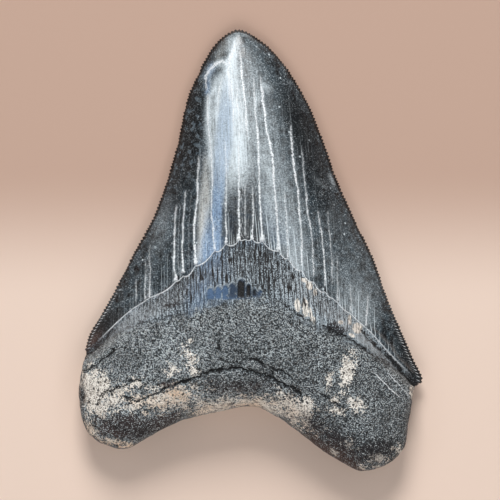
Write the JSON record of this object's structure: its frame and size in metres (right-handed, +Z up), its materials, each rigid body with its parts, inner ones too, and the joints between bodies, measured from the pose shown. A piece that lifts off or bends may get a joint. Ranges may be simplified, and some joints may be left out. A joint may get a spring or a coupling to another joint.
{
  "type": "fossil shark tooth",
  "caption": "Large triangular fossil shark tooth with a serrated glossy crown, a grooved neck band and a thick forked root, lying flat on its labial face.",
  "frame": {"origin": "on the surface the tooth lies on, under the middle of its bounding box", "axes": "+Y from the root to the tip of the crown, +Z up out of the lingual face, +X across the tooth to its longer root lobe"},
  "size_m": [0.0968, 0.1258, 0.025],
  "materials": {
    "fossil": "glossy dark enamel with pale growth cracks on the crown, dull pitted grey mineral with cream patches on the root"
  },
  "bodies": {
    "root": {"tooth": "fossil"}
  },
  "joints": []
}
